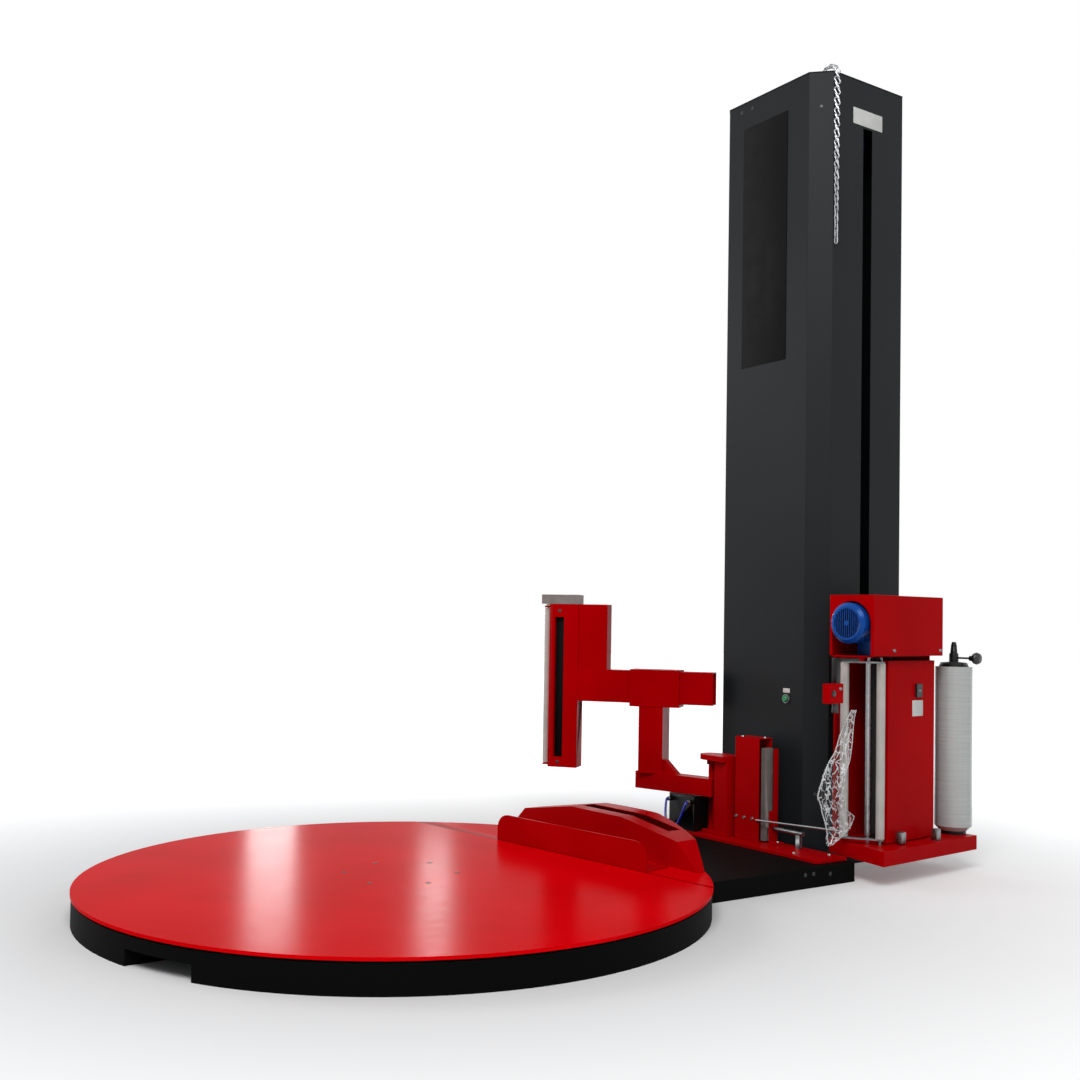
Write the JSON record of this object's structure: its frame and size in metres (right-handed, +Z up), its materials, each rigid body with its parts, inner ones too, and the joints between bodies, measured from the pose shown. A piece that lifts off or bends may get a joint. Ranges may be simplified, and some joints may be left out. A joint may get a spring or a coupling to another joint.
{
  "type": "turntable pallet wrapper",
  "caption": "Low driven turntable with a film carriage that climbs a tall mast and a swinging wiper arm, for wrapping pallets in stretch film.",
  "frame": {"origin": "on the floor, at the foot of the turntable's vertical axis", "axes": "+X from the turntable to the mast, +Z up, +Y to the wiper arm's side"},
  "size_m": [2.6062, 1.65, 2.5554],
  "materials": {
    "anthracite_powder_coat": "satin anthracite powder coat",
    "black_enamel": "black enamel",
    "black_powder_coat": "satin black powder coat",
    "black_rubber": "black rubber",
    "button_green": "moulded green plastic",
    "button_red": "moulded red plastic",
    "grey_plastic": "grey plastic",
    "grey_rubber": "pale grey rubber",
    "ground_steel": "ground steel",
    "motor_blue_enamel": "gloss blue enamel",
    "polyurethane_blue": "blue polyurethane hose",
    "signal_red_enamel": "gloss signal red enamel",
    "stretch_film": "layered clear stretch film, milky white",
    "turntable_red_enamel": "high-gloss signal red enamel, fine orange peel",
    "zinc_plate": "bright zinc plating"
  },
  "bodies": {
    "base": {"base_ring": "black_powder_coat", "fork_channel_left": "black_powder_coat", "fork_channel_right": "black_powder_coat", "hub_frame": "black_powder_coat", "deck_frame": "black_powder_coat", "clamp_plate": "signal_red_enamel", "pivot_post": "signal_red_enamel", "swing_actuator": "black_enamel", "air_hose": "polyurethane_blue", "clamp_housing": "signal_red_enamel", "clamp_anvil": "signal_red_enamel", "clamp_cylinder": "zinc_plate", "film_guide_rod": "ground_steel", "mast_column": "anthracite_powder_coat", "mast_cap": "anthracite_powder_coat", "lift_rail": "ground_steel", "lift_gearmotor": "motor_blue_enamel", "lift_chain": "ground_steel", "hanging_chain": "zinc_plate", "turntable_gearmotor": "motor_blue_enamel", "drive_chain": "ground_steel"},
    "turntable": {"turntable_disc": "turntable_red_enamel", "table_sprocket": "ground_steel", "end_hood": "signal_red_enamel", "pallet_fence": "signal_red_enamel"},
    "drive_sprocket": {"drive_sprocket": "ground_steel"},
    "support_roller_1": {"support_roller_1": "ground_steel"},
    "support_roller_2": {"support_roller_2": "ground_steel"},
    "support_roller_3": {"support_roller_3": "ground_steel"},
    "support_roller_4": {"support_roller_4": "ground_steel"},
    "rear_door": {"rear_door": "anthracite_powder_coat"},
    "emergency_stop": {"emergency_stop": "button_red"},
    "main_switch": {"main_switch": "black_enamel"},
    "start_button": {"start_button": "button_green"},
    "lift_sprocket_top": {"lift_sprocket_top": "ground_steel"},
    "lift_sprocket_bottom": {"lift_sprocket_bottom": "ground_steel"},
    "carriage": {"carriage_plate": "signal_red_enamel", "carriage_frame": "signal_red_enamel", "carriage_housing": "signal_red_enamel", "stretch_motor": "motor_blue_enamel", "photocell": "signal_red_enamel"},
    "motor_fan": {"motor_fan": "black_enamel"},
    "prestretch_slow": {"prestretch_roller_slow": "black_rubber"},
    "prestretch_fast": {"prestretch_roller_fast": "black_rubber"},
    "roller_door": {"roller_door": "signal_red_enamel"},
    "door_latch": {"door_latch": "black_enamel"},
    "steel_roller": {"steel_roller": "ground_steel"},
    "guide_roller": {"guide_roller": "grey_rubber"},
    "dancer": {"dancer_arm": "zinc_plate", "film_tail": "stretch_film"},
    "dancer_roller": {"dancer_roller": "grey_rubber"},
    "film_roll": {"film_roll": "stretch_film", "roll_spindle": "black_enamel", "roll_chuck": "black_enamel"},
    "chuck_knob": {"chuck_knob": "black_enamel"},
    "clamp_bar": {"clamp_bar": "grey_plastic"},
    "swing_arm": {"swing_arm": "signal_red_enamel"},
    "wiper_head": {"wiper_head": "signal_red_enamel", "head_cap": "grey_plastic"},
    "wiper_roller": {"wiper_roller": "grey_rubber"}
  },
  "joints": [
    {"name": "turntable_spin", "type": "hinge", "parent": "base", "child": "turntable", "pos_m": [0, 0, 0.076], "axis": [0, 0, 1], "continuous": true},
    {"name": "drive_sprocket_spin", "type": "hinge", "parent": "base", "child": "drive_sprocket", "pos_m": [1.44, 0, 0.06], "axis": [0, 0, 1], "continuous": true},
    {"name": "support_roller_1_spin", "type": "hinge", "parent": "base", "child": "support_roller_1", "pos_m": [-0.49, -0.49, 0.0517], "axis": [-0.7071, -0.7071, 0], "continuous": true},
    {"name": "support_roller_2_spin", "type": "hinge", "parent": "base", "child": "support_roller_2", "pos_m": [-0.49, 0.49, 0.0517], "axis": [-0.7071, 0.7071, 0], "continuous": true},
    {"name": "support_roller_3_spin", "type": "hinge", "parent": "base", "child": "support_roller_3", "pos_m": [0.49, -0.49, 0.0517], "axis": [0.7071, -0.7071, 0], "continuous": true},
    {"name": "support_roller_4_spin", "type": "hinge", "parent": "base", "child": "support_roller_4", "pos_m": [0.49, 0.49, 0.0517], "axis": [0.7071, 0.7071, 0], "continuous": true},
    {"name": "rear_door_swing", "type": "hinge", "parent": "base", "child": "rear_door", "pos_m": [1.712, 0.224, 1.215], "axis": [0, 0, 1], "range_deg": [0, 110]},
    {"name": "emergency_stop_press", "type": "slide", "parent": "rear_door", "child": "emergency_stop", "axis": [-1, 0, 0], "range_m": [0, 0.005], "stiffness_N_per_m": 800},
    {"name": "main_switch_turn", "type": "hinge", "parent": "rear_door", "child": "main_switch", "pos_m": [1.7093, 0, 1.35], "axis": [1, 0, 0], "range_deg": [0, 90]},
    {"name": "start_button_press", "type": "slide", "parent": "base", "child": "start_button", "axis": [1, 0, 0], "range_m": [0, 0.004], "stiffness_N_per_m": 600},
    {"name": "carriage_lift", "type": "slide", "parent": "base", "child": "carriage", "axis": [0, 0, 1], "range_m": [0, 1.68]},
    {"name": "lift_sprocket_bottom_spin", "type": "hinge", "parent": "base", "child": "lift_sprocket_bottom", "pos_m": [1.5406, -0.068, 0.18], "axis": [1, 0, 0], "continuous": true},
    {"name": "lift_sprocket_top_spin", "type": "hinge", "parent": "base", "child": "lift_sprocket_top", "pos_m": [1.5406, -0.068, 2.4], "axis": [1, 0, 0], "continuous": true},
    {"name": "motor_fan_spin", "type": "hinge", "parent": "carriage", "child": "motor_fan", "pos_m": [1.24329, -0.43905, 0.765], "axis": [0.9954, 0.0958, 0], "continuous": true},
    {"name": "prestretch_slow_spin", "type": "hinge", "parent": "carriage", "child": "prestretch_slow", "pos_m": [1.41486, -0.38988, 0.39], "axis": [0, 0, 1], "continuous": true},
    {"name": "prestretch_fast_spin", "type": "hinge", "parent": "carriage", "child": "prestretch_fast", "pos_m": [1.48952, -0.38269, 0.39], "axis": [0, 0, 1], "continuous": true},
    {"name": "roller_door_swing", "type": "hinge", "parent": "carriage", "child": "roller_door", "pos_m": [1.6009, -0.45434, 0.386], "axis": [0, 0, 1], "range_deg": [0, 100]},
    {"name": "door_latch_turn", "type": "hinge", "parent": "roller_door", "child": "door_latch", "pos_m": [1.51687, -0.46846, 0.571], "axis": [-0.0958, 0.9954, 0], "range_deg": [0, 90]},
    {"name": "steel_roller_spin", "type": "hinge", "parent": "carriage", "child": "steel_roller", "pos_m": [1.35706, -0.41553, 0.387], "axis": [0, 0, 1], "continuous": true},
    {"name": "guide_roller_spin", "type": "hinge", "parent": "carriage", "child": "guide_roller", "pos_m": [1.34171, -0.47528, 0.387], "axis": [0, 0, 1], "continuous": true},
    {"name": "dancer_swing", "type": "hinge", "parent": "carriage", "child": "dancer", "pos_m": [1.34171, -0.47528, 0.387], "axis": [0, 0, 1], "range_deg": [-15, 15], "stiffness_Nm_per_rad": 4},
    {"name": "dancer_roller_spin", "type": "hinge", "parent": "dancer", "child": "dancer_roller", "pos_m": [1.28303, -0.3875, 0.387], "axis": [0, 0, 1], "continuous": true},
    {"name": "film_roll_spin", "type": "hinge", "parent": "carriage", "child": "film_roll", "pos_m": [1.72433, -0.44246, 0.377], "axis": [0, 0, 1], "continuous": true},
    {"name": "chuck_knob_turn", "type": "hinge", "parent": "film_roll", "child": "chuck_knob", "pos_m": [1.72433, -0.44246, 0.6613], "axis": [0.0958, -0.9954, 0], "range_deg": [0, 720]},
    {"name": "clamp_bar_close", "type": "slide", "parent": "base", "child": "clamp_bar", "axis": [0, -1, 0], "range_m": [0, 0.019]},
    {"name": "arm_swing", "type": "hinge", "parent": "base", "child": "swing_arm", "pos_m": [1.218, 0.122, 0.2], "axis": [0, 0, 1], "range_deg": [0, 80]},
    {"name": "head_reach", "type": "slide", "parent": "swing_arm", "child": "wiper_head", "axis": [-0.6157, 0.788, 0], "range_m": [0, 0.08]},
    {"name": "wiper_roller_spin", "type": "hinge", "parent": "wiper_head", "child": "wiper_roller", "pos_m": [0.92232, 0.66232, 0.53], "axis": [0, 0, 1], "continuous": true}
  ],
  "couplings": [
    {"joint": "drive_sprocket_spin", "follows": "turntable_spin", "ratio": 4.5714},
    {"joint": "support_roller_1_spin", "follows": "turntable_spin", "ratio": -34.648},
    {"joint": "support_roller_2_spin", "follows": "turntable_spin", "ratio": -34.648},
    {"joint": "support_roller_3_spin", "follows": "turntable_spin", "ratio": -34.648},
    {"joint": "support_roller_4_spin", "follows": "turntable_spin", "ratio": -34.648},
    {"joint": "lift_sprocket_bottom_spin", "follows": "carriage_lift", "rad_per_m": -20},
    {"joint": "lift_sprocket_top_spin", "follows": "carriage_lift", "rad_per_m": -20},
    {"joint": "prestretch_fast_spin", "follows": "prestretch_slow_spin", "ratio": -2.5},
    {"joint": "motor_fan_spin", "follows": "prestretch_slow_spin", "ratio": 20}
  ]
}
